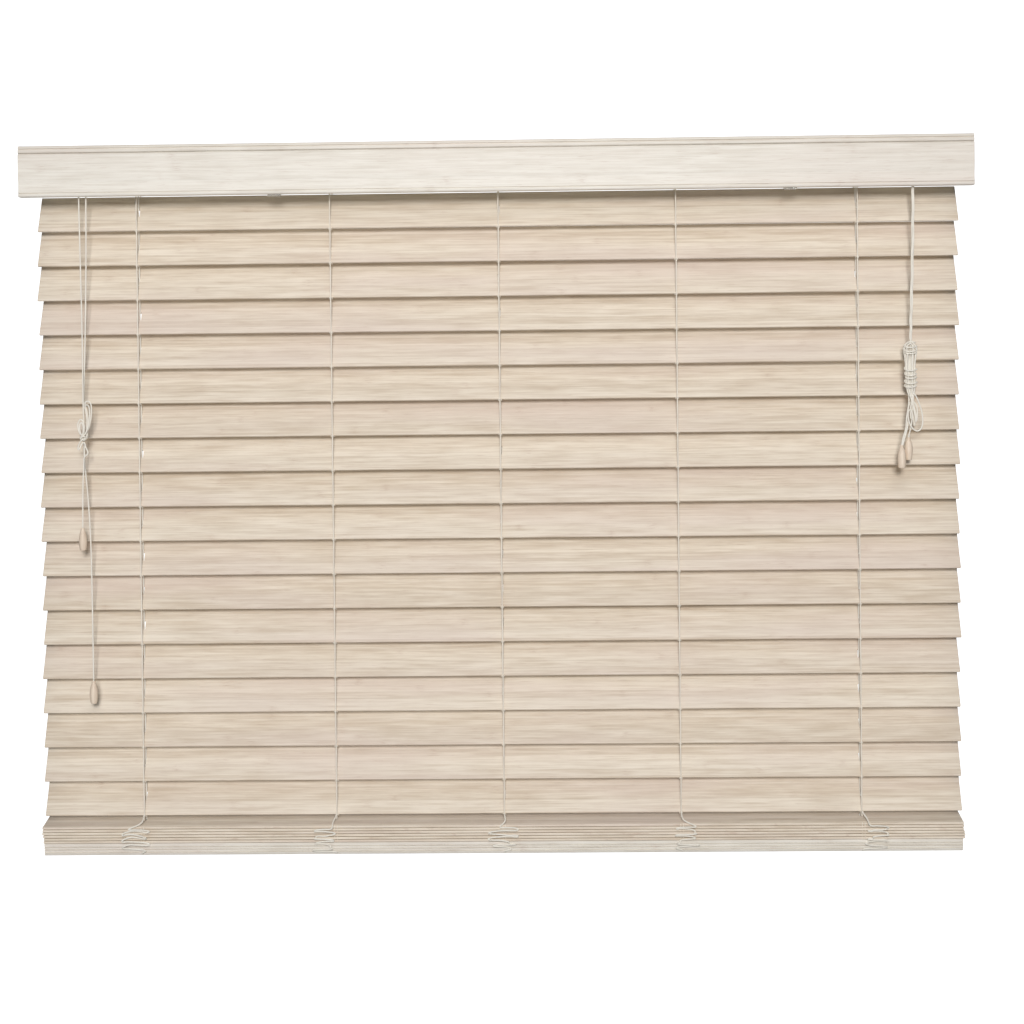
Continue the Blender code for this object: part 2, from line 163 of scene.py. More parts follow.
class Finish:
    """A material being mixed: its Principled shader and the nodes that feed it."""

    def __init__(self, name, **steady):
        self.material = bpy.data.materials.new(name)
        self.material.use_nodes = True
        self.tree = self.material.node_tree
        self.shader = self.tree.nodes["Principled BSDF"]
        for socket, value in steady.items():
            self.shader.inputs[socket.replace("_", " ")].default_value = value

    def node(self, kind, settings=None, values=None, out=0):
        made = self.tree.nodes.new(kind)
        for key, value in (settings or {}).items():
            setattr(made, key, value)
        for key, value in (values or {}).items():
            if isinstance(value, Wire):
                self.tree.links.new(value.socket, made.inputs[key])
            else:
                made.inputs[key].default_value = value
        return Wire(self, made.outputs[out])

    def split(self, vector):
        return [self.node("ShaderNodeSeparateXYZ", None, {0: vector}, out) for out in range(3)]

    def join(self, x, y, z=0.0):
        return self.node("ShaderNodeCombineXYZ", None, {0: x, 1: y, 2: z})

    def noise(self, vector, scale=1.0, detail=2.0, roughness=0.5):
        values = {"Vector": vector, "Scale": scale, "Detail": detail, "Roughness": roughness}
        return self.node("ShaderNodeTexNoise", None, values)

    def chance(self, vector):
        """A random number from 0 to 1 for each whole-numbered place."""
        return self.node("ShaderNodeTexWhiteNoise", {"noise_dimensions": "3D"}, {"Vector": vector})

    def mix(self, share, first, second):
        first, second = ((*c, 1) if isinstance(c, tuple) else c for c in (first, second))
        return self.node("ShaderNodeMix", {"data_type": "RGBA"}, {0: share, 6: first, 7: second}, 2)

    def feed(self, socket, wire):
        self.tree.links.new(wire.socket, self.shader.inputs[socket])

    def bump(self, height, strength, distance):
        values = {"Height": height, "Strength": strength, "Distance": distance}
        self.feed("Normal", self.node("ShaderNodeBump", None, values))

    def uv(self):
        return self.node("ShaderNodeUVMap", {"uv_map": "grain"})

    def place(self):
        return self.node("ShaderNodeTexCoord", out=3)


def linear(red, green, blue):
    """A colour on the 0 to 255 display scale, as the shader takes it."""
    return tuple(((c / 255 + 0.055) / 1.055) ** 2.4 for c in (red, green, blue))


def bamboo(name, pale, shade, blush, strip_height, gloss):
    """Whitewashed laminated bamboo: glued strips, long fibres and faint knuckle marks along U, across V."""
    made = Finish(name, Specular_IOR_Level=0.16)
    along, across, _ = made.split(made.uv())
    strip = (across / strip_height).floor()
    luck = made.chance(made.join(strip, 3.0))
    fibres = made.noise(made.join(along * 17.0, across * 1100.0), 1.0, 4.0, 0.6)
    streaks = made.noise(made.join(along * 11.0, across * 330.0), 1.0, 3.0, 0.55)
    patches = made.noise(made.join(along * 20.0, across * 120.0), 1.0, 3.0)
    clouds = made.noise(made.join(along * 2.2, across * 14.0), 1.0, 2.0)
    cell = along / 0.17 + luck * 7.0
    spot = cell.floor()
    chosen = made.chance(made.join(strip, spot, 5.0)).clamp(0.62, 0.8)
    from_knuckle = abs(cell - spot - 0.5) * 0.19
    frayed = made.noise(made.join(along * 70.0, across * 900.0), 1.0, 3.0, 0.6)
    near = 1.0 - (from_knuckle + (frayed - 0.5) * 0.05).clamp(0.0, 0.016)
    knuckle = near * chosen * frayed.clamp(0.45, 0.66)
    brushed = made.noise(made.join(along * 40.0, across * 1000.0), 1.0, 3.0, 0.6).clamp(0.58, 0.72)
    grain = (streaks - 0.5) * 1.4 + (fibres - 0.5) * 0.9
    shade_share = 0.43 + grain + (luck - 0.5) * 0.35 + (patches - 0.5) * 0.8
    base = made.mix(shade_share.clamp(-0.1, 1.1), pale, shade)
    blushed = made.mix(clouds.clamp(0.42, 0.72) * 0.5, base, blush)
    joint = abs(across / strip_height - strip - 0.5).clamp(0.47, 0.5)
    marked = made.mix(knuckle * 0.42 + brushed * 0.28, blushed, linear(172, 136, 116))
    made.feed("Base Color", made.mix(joint * 0.16, marked, tuple(c * 0.55 for c in shade)))
    made.feed("Roughness", gloss + (fibres - 0.5) * 0.2 + knuckle * 0.08)
    made.bump(fibres * 0.6 + streaks * 0.5 - knuckle * 0.4 - joint * 0.4, 0.3, 0.0005)
    return made.material


def braided_cord(name, pale, shade, pitch):
    """Round braid: two sets of strands crossing round the cord, from U round it and V along it in metres."""
    made = Finish(name, Roughness=0.85, Sheen_Weight=0.15, Specular_IOR_Level=0.2)
    around, along, _ = made.split(made.uv())
    right = along.maths("SINE", (along / pitch + around * 4.0) * math.tau)
    left = along.maths("SINE", (along / pitch - around * 4.0) * math.tau)
    weave = along.maths("MAXIMUM", right, left)
    grime = made.noise(made.place(), 60.0, 3.0)
    height = weave * 0.5 + 0.5
    # Painted shade: the low parts of the weave, in the hollows between the strands, take the darker colour;
    # the grime noise adds real dirt on top.
    made.feed("Base Color", made.mix((1.0 - height) * 0.55 + (grime - 0.5) * 0.5, pale, shade))
    made.bump(height, 0.55, 0.0003)
    return made.material


def turned_wood(name, pale, shade):
    made = Finish(name, Specular_IOR_Level=0.4)
    x, y, z = made.split(made.place())
    grain = made.noise(made.join(x * 900.0, y * 900.0, z * 40.0), 1.0, 3.0)
    rings = made.noise(made.join(x * 250.0, y * 250.0, z * 14.0), 1.0, 2.0)
    made.feed("Base Color", made.mix((grain * 0.6 + rings * 0.5).clamp(0.25, 0.85), pale, shade))
    made.feed("Roughness", 0.42 + grain * 0.15)
    made.bump(grain, 0.2, 0.0003)
    return made.material


def painted_steel(name, colour, worn):
    made = Finish(name, Specular_IOR_Level=0.45)
    peel = made.noise(made.place(), 900.0, 2.0)
    dust = made.noise(made.place(), 14.0, 4.0)
    made.feed("Base Color", made.mix(dust.clamp(0.45, 0.8) * 0.5, colour, worn))
    made.feed("Roughness", 0.34 + dust * 0.16)
    made.bump(peel, 0.08, 0.0002)
    return made.material


def zinc(name):
    made = Finish(name, Metallic=1.0)
    spangle = made.noise(made.place(), 240.0, 2.0)
    stretched = made.node("ShaderNodeMapping", None, {0: made.place(), 3: (6.0, 1400.0, 1400.0)})
    drawn = made.noise(stretched, 1.0, 2.0)
    made.feed("Base Color", made.mix(spangle, (0.55, 0.55, 0.54), (0.72, 0.72, 0.70)))
    made.feed("Roughness", 0.24 + drawn * 0.22)
    made.bump(drawn, 0.1, 0.0002)
    return made.material


def moulded(name, colour, shade, rough):
    made = Finish(name, Specular_IOR_Level=0.4, Subsurface_Weight=0.05)
    made.shader.inputs["Subsurface Radius"].default_value = (0.002, 0.002, 0.002)
    spark = made.noise(made.place(), 2600.0, 2.0)
    cloud = made.noise(made.place(), 30.0, 2.0)
    made.feed("Base Color", made.mix(cloud * 0.6, colour, shade))
    made.feed("Roughness", rough + spark * 0.1)
    made.bump(spark, 0.12, 0.0001)
    return made.material


def clear_plastic(name):
    made = Finish(name, IOR=1.46, Transmission_Weight=0.85)
    haze = made.noise(made.place(), 400.0, 2.0)
    made.feed("Base Color", made.mix(haze, (0.93, 0.93, 0.91), (0.84, 0.84, 0.81)))
    made.feed("Roughness", 0.12 + haze * 0.14)
    return made.material


SLAT_WOOD = bamboo(
    "whitewashed_bamboo", linear(239, 229, 213), linear(206, 190, 169), linear(222, 206, 196), 9 * MM, 0.5
)
VALANCE_WOOD = bamboo(
    "pale_bamboo", linear(243, 239, 230), linear(222, 215, 203), linear(232, 222, 213), 11 * MM, 0.55
)
# The second colour of each braid is partly painted shade, in the hollows between the strands, and partly
# grime.
BRAID = braided_cord("braided_cord", linear(253, 250, 241), linear(218, 206, 186), 1.5 * MM)
LADDER_BRAID = braided_cord("ladder_braid", linear(252, 246, 234), linear(216, 202, 182), 1.2 * MM)
TASSEL_WOOD = turned_wood("tassel_wood", linear(240, 226, 208), linear(220, 200, 178))
CREAM_STEEL = painted_steel("cream_steel", linear(226, 220, 204), linear(203, 196, 180))
ZINC = zinc("zinc_plate")
NYLON = moulded("white_nylon", linear(232, 230, 222), linear(218, 215, 205), 0.38)
CLEAR = clear_plastic("clear_plastic")


# ---------------------------------------------------------------- modelling helpers


def only(piece):
    bpy.ops.object.select_all(action="DESELECT")
    piece.select_set(True)
    bpy.context.view_layer.objects.active = piece


def named(name, finish, rides):
    """Names the active object, gives it its finish and puts it on its body."""
    made = bpy.context.object
    made.name = made.data.name = name
    made.data.materials.clear()
    made.data.materials.append(finish)
    if rides:
        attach(made, rides)
    return made


def cube(low, high):
    """A box between two corners, its place in its mesh."""
    low, high = Vector(low), Vector(high)
    bpy.ops.object.select_all(action="DESELECT")
    bpy.ops.mesh.primitive_cube_add(size=1, location=(low + high) / 2)
    made = bpy.context.object
    made.scale = high - low
    bpy.ops.object.transform_apply(location=True, rotation=True, scale=True)
    return made


def cylinder(radius, start, end, sides=32):
    start, end = Vector(start), Vector(end)
    bpy.ops.object.select_all(action="DESELECT")
    turn = (end - start).to_track_quat("Z", "Y").to_euler()
    bpy.ops.mesh.primitive_cylinder_add(
        vertices=sides, radius=radius, depth=(end - start).length, location=(start + end) / 2, rotation=turn
    )
    bpy.ops.object.transform_apply(location=True, rotation=True, scale=True)
    return bpy.context.object


def choose(made, kind, test):
    """Enters edit mode with only the vertices, edges or faces that pass a test on their middles selected."""
    only(made)
    bpy.ops.object.mode_set(mode="EDIT")
    bpy.ops.mesh.select_mode(type=kind)
    bpy.ops.mesh.select_all(action="DESELECT")
    bpy.ops.object.mode_set(mode="OBJECT")
    mesh = made.data
    if kind == "VERT":
        for v in mesh.vertices:
            v.select = test(v.co)
    elif kind == "EDGE":
        for e in mesh.edges:
            a, b = (mesh.vertices[i].co for i in e.vertices)
            e.select = test((a + b) / 2, (b - a).normalized())
    else:
        for f in mesh.polygons:
            f.select = test(f.center, f.normal)
    bpy.ops.object.mode_set(mode="EDIT")


def done():
    bpy.ops.object.mode_set(mode="OBJECT")


def slice_at(made, normal, places):
    """Cuts an edge loop through the mesh at each place along an axis."""
    only(made)
    bpy.ops.object.mode_set(mode="EDIT")
    for place in places:
        bpy.ops.mesh.select_all(action="SELECT")
        bpy.ops.mesh.bisect(plane_co=Vector(normal) * place, plane_no=normal)
    done()


def apply(made, kind, **settings):
    """Adds a modifier and applies it."""
    only(made)
    modifier = made.modifiers.new("made", kind)
    for key, value in settings.items():
        setattr(modifier, key, value)
    bpy.ops.object.modifier_apply(modifier=modifier.name)


def soften(made, width, segments=2, angle=40):
    limit = math.radians(angle)
    apply(made, "BEVEL", width=width, segments=segments, limit_method="ANGLE", angle_limit=limit)


def smooth(made, angle=35):
    only(made)
    bpy.ops.object.shade_smooth_by_angle(angle=math.radians(angle))
    return made


def carve(made, tool):
    apply(made, "BOOLEAN", operation="DIFFERENCE", solver="EXACT", object=tool)
    bpy.data.objects.remove(tool)


def weld(made, other):
    apply(made, "BOOLEAN", operation="UNION", solver="EXACT", object=other)
    bpy.data.objects.remove(other)


def join(pieces):
    bpy.ops.object.select_all(action="DESELECT")
    for piece in pieces:
        piece.select_set(True)
    bpy.context.view_layer.objects.active = pieces[0]
    bpy.ops.object.join()
    return bpy.context.object


def copied(master, move):
    """A copy of a finished shape with its own mesh, moved in its mesh."""
    made = bpy.data.objects.new(master.name, master.data.copy())
    bpy.context.scene.collection.objects.link(made)
    made.data.transform(move)
    only(made)
    return made


def drop(made):
    bpy.data.objects.remove(made)


def grain_map(made, along=(1, 0, 0), across=(0, 1, 0), offset=(0.0, 0.0)):
    """A UV map in metres along and across the wood, shifted so that no two boards match."""
    layer = made.data.uv_layers.get("grain") or made.data.uv_layers.new(name="grain")
    made.data.uv_layers.active = layer
    along, across = Vector(along), Vector(across)
    for loop in made.data.loops:
        co = made.data.vertices[loop.vertex_index].co
        layer.data[loop.index].uv = (co.dot(along) + offset[0], co.dot(across) + offset[1])


def spun(profile, centre, axis="Z", steps=40):
    """A piece turned from (radius, height) points, which run from one end of its axis to the other."""
    bpy.ops.object.select_all(action="DESELECT")
    bpy.ops.mesh.primitive_plane_add(size=0.001)
    made = bpy.context.object
    bpy.ops.object.mode_set(mode="EDIT")
    bpy.ops.mesh.select_mode(type="VERT")
    bpy.ops.mesh.select_all(action="SELECT")
    bpy.ops.mesh.merge(type="CENTER")
    here = Vector((0, 0, 0))
    for radius, height in profile:
        step = Vector((radius, 0, height)) - here
        if here.length == 0 and radius == profile[0][0]:
            bpy.ops.transform.translate(value=step)
        else:
            bpy.ops.mesh.extrude_region_move(TRANSFORM_OT_translate={"value": step})
        here = Vector((radius, 0, height))
    bpy.ops.mesh.select_all(action="SELECT")
    bpy.ops.mesh.spin(steps=steps, angle=math.tau, center=(0, 0, 0), axis=(0, 0, 1))
    bpy.ops.mesh.select_all(action="SELECT")
    bpy.ops.mesh.remove_doubles(threshold=0.000005)
    bpy.ops.mesh.normals_make_consistent(inside=False)
    done()
    turn = {"X": (0, math.pi / 2, 0), "Y": (-math.pi / 2, 0, 0), "Z": (0, 0, 0)}[axis]
    made.data.transform(Matrix.Translation(centre) @ Euler(turn).to_matrix().to_4x4())
    return smooth(made)


def flowing(points, steps):
    """Points along a smooth curve through the given ones, steps to each stretch."""
    points = [Vector(p) for p in points]
    points = [2 * points[0] - points[1], *points, 2 * points[-1] - points[-2]]
    route = []
    for a, b, c, d in zip(points, points[1:], points[2:], points[3:]):
        for step in range(steps):
            t = step / steps
            cubic = (3 * b - a - 3 * c + d) * t**3
            route.append(0.5 * (2 * b + (c - a) * t + (2 * a - 5 * b + 4 * c - d) * t**2 + cubic))
    route.append(points[-2])
    return route


def eased(route, rounds=8):
    """The same route in even steps of a millimetre, its sharpest turns let out by the cord's stiffness."""
    even, owed = [route[0]], MM
    for a, b in zip(route, route[1:]):
        here, length = 0.0, (b - a).length
        while length - here >= owed:
            here += owed
            even.append(a + (b - a) * (here / length))
            owed = MM
        owed -= length - here
    even[-1] = route[-1]
    for _ in range(rounds):
        between = [(a + 2 * b + c) / 4 for a, b, c in zip(even, even[1:], even[2:])]
        even = [even[0], *between, even[-1]]
    return even


def tube(name, route, diameter, finish, rides=None, sides=2):
    """A round cord along a route, as a mesh with a UV map round it and along it."""
    curve = bpy.data.curves.new(name, "CURVE")
    curve.dimensions = "3D"
    curve.bevel_depth = diameter / 2
    curve.bevel_resolution = sides
    curve.use_fill_caps = True
    spline = curve.splines.new("POLY")
    spline.points.add(len(route) - 1)
    for point, place in zip(spline.points, route):
        point.co = (*place, 1)
    made = bpy.data.objects.new(name, curve)
    bpy.context.scene.collection.objects.link(made)
    only(made)
    bpy.ops.object.convert(target="MESH")
    made = bpy.context.object
    count = 4 + 2 * sides
    lengths = [0.0]
    for a, b in zip(route, route[1:]):
        lengths.append(lengths[-1] + (Vector(b) - Vector(a)).length)
    layer = made.data.uv_layers.get("grain") or made.data.uv_layers.new(name="grain")
    made.data.uv_layers.active = layer
    rings = len(route)
    for face in made.data.polygons:
        rounds = [(made.data.loops[i].vertex_index % count) / count for i in face.loop_indices]
        seam = max(rounds) - min(rounds) > 0.5
        for i, share in zip(face.loop_indices, rounds):
            ring = min(made.data.loops[i].vertex_index // count, rings - 1)
            layer.data[i].uv = (share + 1 if seam and share < 0.5 else share, lengths[ring])
    only(made)
    bpy.ops.object.mode_set(mode="EDIT")
    bpy.ops.mesh.select_all(action="SELECT")
    bpy.ops.mesh.remove_doubles(threshold=0.000001)
    done()
    smooth(made, 60)
    return named(name, finish, rides)


# ---------------------------------------------------------------- slats, valance and bottom rail


def slat_shape():
    """One slat, flat at the origin: rounded edges and, where the lift cords pass, three route slots."""
    half = Vector((HALF_SLAT, 25 * MM, 1.5 * MM))
    made = cube(-half, half)
    soften(made, 1.0 * MM, 3)
    slice_at(made, (1, 0, 0), [x * 45 * MM for x in range(-12, 13)])
    for number in LIFTED:
        x = middle(f"ladder_front_{number}").x
        slot = cube((x - 1.0 * MM, -5.8 * MM, -5 * MM), (x + 1.0 * MM, 5.8 * MM, 5 * MM))
        choose(slot, "EDGE", lambda at, way: abs(way.z) > 0.9)
        bpy.ops.mesh.bevel(offset=0.9 * MM, segments=6)
        done()
        carve(made, slot)
    return smooth(made)


def slats():
    """Each slat is its own board: a little bow, a little end play, its own stretch of grain."""
    master = slat_shape()
    luck = random.Random(11)
    for number, node in enumerate(SLATS, 1):
        tilt = CLOSED_TILT if node in HANGING else TIPPED_TILT if number == 19 else 0
        bow = luck.uniform(-0.5, 0.5) * MM if node in HANGING else 0
        twist = luck.uniform(-0.4, 0.4) * MM if node in HANGING else 0
        play = luck.uniform(-1.1, 1.1) * MM
        made = copied(master, Matrix.Identity(4))
        grain_map(made, offset=(luck.uniform(0, 40), luck.uniform(0, 40)))
        for v in made.data.vertices:
            share = v.co.x / HALF_SLAT
            v.co.z += bow * (1 - share**2) + twist * share * v.co.y / (25 * MM)
        place = Matrix.Translation((play, *middle(node).yz)) @ Matrix.Rotation(tilt, 4, "X")
        made.data.transform(place)
        named(f"{node}_board", SLAT_WOOD, node)
        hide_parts(node)
    drop(master)


def moulding(low, high, rows, back_rows=()):
    """A board whose front is moulded: at each depth below its top the face stands back by so much."""
    made = cube(low, high)
    slice_at(made, (0, 0, 1), [high[2] - depth for depth, _ in rows[1:-1]])
    for depth, inset in rows:
        level = high[2] - depth
        choose(made, "VERT", lambda at: abs(at.z - level) < 0.00002 and at.y < low[1] + 0.0001)
        bpy.ops.transform.translate(value=(0, inset, 0))
        done()
    for depth, inset in back_rows:
        level = high[2] - depth
        choose(made, "VERT", lambda at: abs(at.z - level) < 0.00002 and at.y > high[1] - 0.0001)
        bpy.ops.transform.translate(value=(0, -inset, 0))
        done()
    return made


def valance():
    low, high = (Vector(corner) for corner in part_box("valance"))
    rows = [
        (0, 2.6), (0.4, 1.5), (1.2, 0.9), (3.4, 0.8), (3.7, 2.6), (4.5, 2.7), (4.9, 0.6),
        (8.2, 0.5), (8.7, 0.8),
        (9.0, 3.0), (10.0, 3.1), (10.5, 0.6), (11.6, 0.15), (14, 0), (41, 0), (43, 0.25),
        (45.5, 0.95), (48, 1.15),
        (53, 1.15), (56, 0.9), (58, 0.4), (58.9, 0.3), (59.2, 1.9), (59.8, 1.9), (60.1, 0.1), (61.8, 0.1),
        (62.8, 0.5), (63.6, 1.3), (64, 2.4),
    ]  # fmt: skip
    made = moulding(low, high, [(depth * MM, inset * MM) for depth, inset in rows])
    ends = low.x + 0.0001
    choose(made, "EDGE", lambda at, way: abs(way.y) > 0.95 and abs(at.x) > -ends and at.z < low.z + 0.0001)
    bpy.ops.mesh.bevel(offset=3.0 * MM, segments=5, affect="EDGES")
    done()
    choose(made, "EDGE", lambda at, way: abs(way.x) < 0.3 and abs(at.x) > -ends and at.y < low.y + 0.003)
    bpy.ops.mesh.bevel(offset=0.7 * MM, segments=2, affect="EDGES")
    done()
    smooth(made, 50)
    grain_map(made, across=(0, 0, 1), offset=(3.3, 0.31))
    only(made)
    named("valance_board", VALANCE_WOOD, "root")
    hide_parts("valance")


def bottom_rail():
    low, high = (Vector(corner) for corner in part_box("bottom_rail"))
    rows = [
        (0, 0.9), (0.8, 0.1), (3.2, 0), (3.5, 2.2), (4.6, 2.3), (4.9, 0), (6.6, 0), (6.9, 2.3),
        (8.0, 2.4), (8.3, 0.2),
        (10.0, 0.3), (10.3, 2.4), (11.4, 2.5), (11.8, 0.8), (13.8, 1.6), (14.9, 2.4), (15.5, 3.8),
    ]  # fmt: skip
    rows = [(depth * MM, inset * MM) for depth, inset in rows]
    made = moulding(low, high, rows, rows)
    smooth(made, 25)
    grain_map(made, across=(0, 0.7, 0.7), offset=(8.1, 0.77))
    only(made)
    named("bottom_rail_board", VALANCE_WOOD, "bottom_rail")
    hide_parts("bottom_rail")


# ---------------------------------------------------------------- ladders


def place_of(ladder):
    """X of a ladder and Y of its front and rear uprights."""
    front = middle(f"ladder_front_{ladder}")
    rear = middle(f"ladder_rear_{ladder}")
    return front.x, front.y, rear.y


def rungs():
    """A pair of fine rungs under each slat at each ladder; the slat lies on them."""
    for number, node in enumerate(SLATS, 1):
        tilt = CLOSED_TILT if node in HANGING else TIPPED_TILT if number == 19 else 0
        turn = Matrix.Rotation(tilt, 4, "X")
        centre = middle(node)
        under = -2.1 * MM if node in HANGING or number == 19 else -1.78 * MM
        pieces = []
        for ladder in LADDERS:
            x = place_of(ladder)[0]
            for side in (-1, 1):
                line = [
                    (-25.3 * MM, 2.1 * MM), (-26.3 * MM, 0.6 * MM), (-25.8 * MM, -1.3 * MM),
                    (-23.6 * MM, under),
                    (0, under), (23.6 * MM, under), (26.1 * MM, -2.0 * MM),
                ]  # fmt: skip
                if node not in HANGING and number != 19:
                    line = line[2:]
                beside = x + side * 1.7 * MM
                points = [Vector((0, *centre.yz)) + turn @ Vector((beside, y, z)) for y, z in line]
                pieces.append(tube("rung", flowing(points, 4), RUNG_CORD, LADDER_BRAID, sides=1))
        join(pieces)
        named(f"{node}_rungs", LADDER_BRAID, node)


def knot_ball(radius, at, segments, rings):
    """A small round knot."""
    bpy.ops.object.select_all(action="DESELECT")
    bpy.ops.mesh.primitive_uv_sphere_add(segments=segments, ring_count=rings, radius=radius, location=at)
    bpy.ops.object.transform_apply(location=True, rotation=True, scale=True)
    made = smooth(bpy.context.object, 60)
    grain_map(made, across=(0, 0, 1))
    return made


def uprights():
    """The two uprights of each ladder, with a knot where each slat's rungs leave them."""
    for ladder in LADDERS:
        for side in ("front", "rear"):
            node = f"ladder_{side}_{ladder}"
            low, high = (Vector(corner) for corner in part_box(node))
            x, y = (low.x + high.x) / 2, (low.y + high.y) / 2
            steps = 37
            line = []
            for step in range(steps + 1):
                sway = 0.15 * MM * math.sin(step * 2.1 + ladder)
                line.append((x + sway, y, high.z + (low.z - high.z) * step / steps))
            pieces = [tube(node, flowing(line, 2), LADDER_CORD, LADDER_BRAID)]
            for slat in HANGING:
                edge = middle(slat).z + (-22.3 if side == "front" else 22.3) * MM
                if low.z < edge < high.z:
                    pieces.append(knot_ball(1.0 * MM, (x, y, edge), 10, 6))
            made = join(pieces)
            named(f"{node}_cord", LADDER_BRAID, f"ladder_{side}")
            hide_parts(node)


def turns_on_drums():
    """The ladder cord from the channel's floor slot round its drum and back."""
    for ladder in LADDERS:
        x, front, rear = place_of(ladder)
        drum = middle(f"ladder_drum_{ladder}")
        line = [(x, front, drum.z - 27 * MM), (x, front + 1.6 * MM, drum.z - 14 * MM)]
        for step in range(9):
            angle = math.radians(200 - 27.5 * step)
            line.append((x, drum.y + 9.3 * MM * math.cos(angle), drum.z + 9.3 * MM * math.sin(angle)))
        line += [(x, rear - 1.6 * MM, drum.z - 14 * MM), (x, rear, drum.z - 27 * MM)]
        tube(f"ladder_{ladder}_drum_turn", flowing(line, 4), LADDER_CORD, LADDER_BRAID, "root")


# For each ladder, its folds from the top down: shift from the ladder, half width and arch, in millimetres.
SLACK = {
    1: ((-7, 17, 0.6), (-12, 14, 2.6), (-11, 17, 3.4), (-13, 13, 3.6), (-9, 19, 1.0),
       (-14, 11, 3.0), (-7, 12, 0.4)),
    2: ((-13, 14, 0.5), (-17, 17, 1.4), (-14, 12, -1.2), (-18, 16, 0.2), (-11, 15, 1),
       (-19, 13, 2), (-13, 16, -0.6)),
    3: ((3, 15, 0.3), (-4, 16, 1.6), (5, 13, -1.0), (-3, 18, 0.9), (-6, 13, 1.8), (4, 19, -0.8),
       (-5, 14, 0.6)),
    4: ((8, 16, 0.0), (3, 14, 1.8), (8, 17, -0.6), (2, 15, 1.3), (9, 13, 0.7), (4, 18, -1.0), (6, 14, 0.5)),
    5: ((16, 15, 0.9), (21, 12, -0.8), (14, 17, 1.6), (23, 13, 0.8), (13, 16, -1.0),
       (20, 19, 1.5), (15, 13, 0.2)),
}


def slack_loops():
    """The ladder cord between the stacked slats, folded in loose loops before and behind the stack."""
    for ladder, folds in SLACK.items():
        x, front, rear = place_of(ladder)
        for side, y, wall in (("front", front, -57.2 * MM), ("rear", rear, -1.9 * MM)):
            away = -1 if side == "front" else 1
            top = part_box(f"ladder_{side}_{ladder}")[0].z
            lean = x + folds[0][0] * 0.3 * MM
            line = [(x, y, top + 6 * MM), (lean, (y + wall) / 2 + away * 3 * MM, top - 1.5 * MM)]
            for number, (shift, half, arch) in enumerate(folds):
                level = -867.6 - 4.1 * number
                centre = x * 1000 + (shift if side == "front" else -shift * 0.6)
                way = 1 if (number + ladder) % 2 else -1
                out = away * (0.8 + (2.2 if side == "front" else 1.0) * ((number * 2 + ladder) % 3)) * MM
                line += [
                    (centre * MM - way * half * MM * 0.6, wall + out, (level + 0.6 + arch * 0.6) * MM),
                    (centre * MM, wall + out + away * 0.5 * MM, (level + arch) * MM),
                    (centre * MM + way * half * MM * 0.66, wall + out, (level - 0.4 + arch * 0.4) * MM),
                    (centre * MM + way * half * MM, wall + out * 0.6, (level - 2.0) * MM),
                    (centre * MM + way * half * MM * 0.82, wall + away * 1.2 * MM, (level - 3.5) * MM),
                ]
            line += [(x, wall, -897.2 * MM), (x, wall - away * 3 * MM, -900.4 * MM)]
            made = tube(f"ladder_{ladder}_{side}_slack", eased(flowing(line, 6), 3), SLACK_CORD, BRAID)
            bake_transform(made)


def lift_cords():
    """The three lift cords, from the lock along the channel and down through the slats to the rail."""
    depth_in_channel = {1: -41.0 * MM, 3: -44.5 * MM, 5: -48.0 * MM}
    for ladder in LIFTED:
        node = f"lift_cord_{ladder}"
        x = place_of(ladder)[0]
        level = depth_in_channel[ladder]
        line = [(511.7 * MM, ROD_Y, level), (x + 12 * MM, ROD_Y, level), (x + 6 * MM, ROD_Y, level)]
        line += [(x + 1.8 * MM, ROD_Y, level - 1.8 * MM), (x, ROD_Y, level - 6 * MM)]
        line += [(x, ROD_Y, (-60 - 55.07 * step) * MM) for step in range(16)]
        made = tube(f"{node}_braid", flowing(line, 3), CORD, BRAID)
        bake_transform(made)
        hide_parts(node)


# ---------------------------------------------------------------- tilt cords and their bow

TILT_ROUTE_A = (
    (-525.0, -63.0, -36.4), (-525.0, -63.2, -70.0), (-523.8, -64.0, -150.0), (-522.6, -64.8, -240.0),
    (-522.2, -66.0, -300.0), (-521.8, -67.2, -330.0), (-521.0, -68.2, -350.0), (-520.4, -68.6, -364.0),
)  # fmt: skip
TALL_LOOP = (
    (-1.2, 0.6, -3.0), (1.8, 1.4, -4.6), (4.2, 1.0, -1.0), (4.6, 0.4, 8.5), (5.2, 0.6, 22.0),
    (3.6, 0.9, 34.0),
    (1.4, 0.6, 41.0), (3.6, -0.4, 44.4), (8.4, -1.4, 43.6), (10.6, -2.2, 37.6), (10.2, -2.8, 24.0),
    (6.6, -3.0, 9.6), (1.0, -3.2, 1.2),
)  # fmt: skip
SHORT_LOOP = (
    (-3.4, -3.4, 2.6), (-6.2, -2.6, 9.2), (-6.8, -2.0, 16.0), (-4.2, -2.2, 21.4), (-0.8, -3.0, 20.8),
    (1.6, -3.6, 14.0), (1.6, -4.2, 6.4), (-0.4, -4.4, 1.0),
)  # fmt: skip
KNOT = (
    (-3.8, -3.2, -1.4), (-2.0, -1.0, -3.6), (2.4, -0.8, -2.6), (3.6, -3.0, -0.4), (0.4, -5.2, 0.2),
    (-3.2, -4.6, -2.0), (-3.0, -1.6, -5.0), (1.4, -0.8, -5.2), (3.2, -3.0, -3.4),
)  # fmt: skip
LOW_BIGHT = (
    (0.2, -5.0, -3.4), (-3.6, -3.8, -6.6), (-6.0, -2.6, -11.0), (-7.6, -1.8, -15.4), (-6.2, -0.9, -17.6),
    (-3.6, -0.6, -12.0), (-0.8, -0.8, -6.8), (2.0, -1.4, -9.4), (2.6, -1.6, -14.6), (5.4, -2.0, -18.6),
    (5.2, -3.0, -23.4), (1.8, -2.4, -24.4), (-0.2, -0.8, -28.0),
)  # fmt: skip
KNOT_AT = (-521.2, -68.6, -366.4)
TILT_ROUTE_A_END = (
    (-521.8, -68.0, -402.0), (-523.4, -67.0, -424.0), (-524.2, -66.0, -445.0), (-524.8, -66.2, -484.0),
)  # fmt: skip
